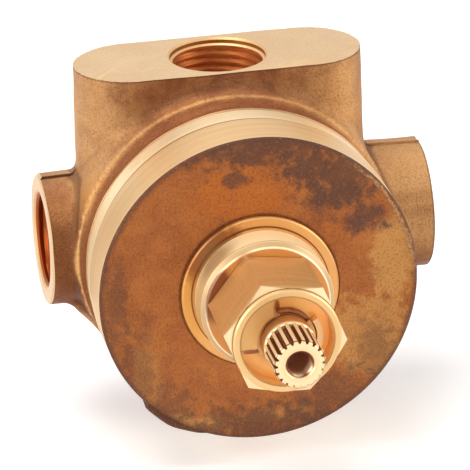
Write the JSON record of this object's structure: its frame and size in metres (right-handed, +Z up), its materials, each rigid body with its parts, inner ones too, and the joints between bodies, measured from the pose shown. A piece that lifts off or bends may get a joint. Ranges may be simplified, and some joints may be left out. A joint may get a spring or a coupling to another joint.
{
  "type": "concealed four-way valve",
  "caption": "Cast brass concealed diverter body with threaded ports round a drum and a splined spindle in front that turns its rotor.",
  "frame": {"origin": "on the axis of the bottom inlet, at its first full thread, 0.5 mm inside the port's mouth", "axes": "+Z up along the inlet and the top outlet, +X towards the right outlet, -Y towards the spindle and the user"},
  "size_m": [0.0855, 0.0974, 0.0799],
  "materials": {
    "cast_brass": "raw sand-cast skin, mottled orange-brown with dark stains; ports, lands and top face machined pale",
    "machined_brass": "freshly turned and milled, satin",
    "spindle_brass": "bright turned, satin",
    "rotor_brass": "fine turned",
    "spring_steel": "bright spring steel",
    "rubber": "matte black rubber",
    "fibre": "pressed sealing fibre",
    "slide_plastic": "white slide ring"
  },
  "bodies": {
    "valve_body": {"body": "cast_brass", "headpart_housing": "machined_brass", "headpart_gasket": "fibre", "housing_seal": "rubber", "spindle_front_washer": "slide_plastic", "spindle_thrust_washer": "slide_plastic", "rotor_washer": "slide_plastic", "seat_left": "rubber", "seat_top": "rubber", "seat_right": "rubber", "spring_left": "spring_steel", "spring_top": "spring_steel", "spring_right": "spring_steel"},
    "turning_spindle": {"spindle": "spindle_brass", "spindle_circlip": "spring_steel", "spindle_front_seal": "rubber", "spindle_rear_seal": "rubber", "rotor": "rotor_brass", "rotor_seal": "rubber"}
  },
  "joints": [
    {"name": "spindle_turn", "type": "hinge", "parent": "valve_body", "child": "turning_spindle", "pos_m": [0, -0.04, 0.04], "axis": [0, -1, 0], "range_deg": [-90, 90]}
  ]
}
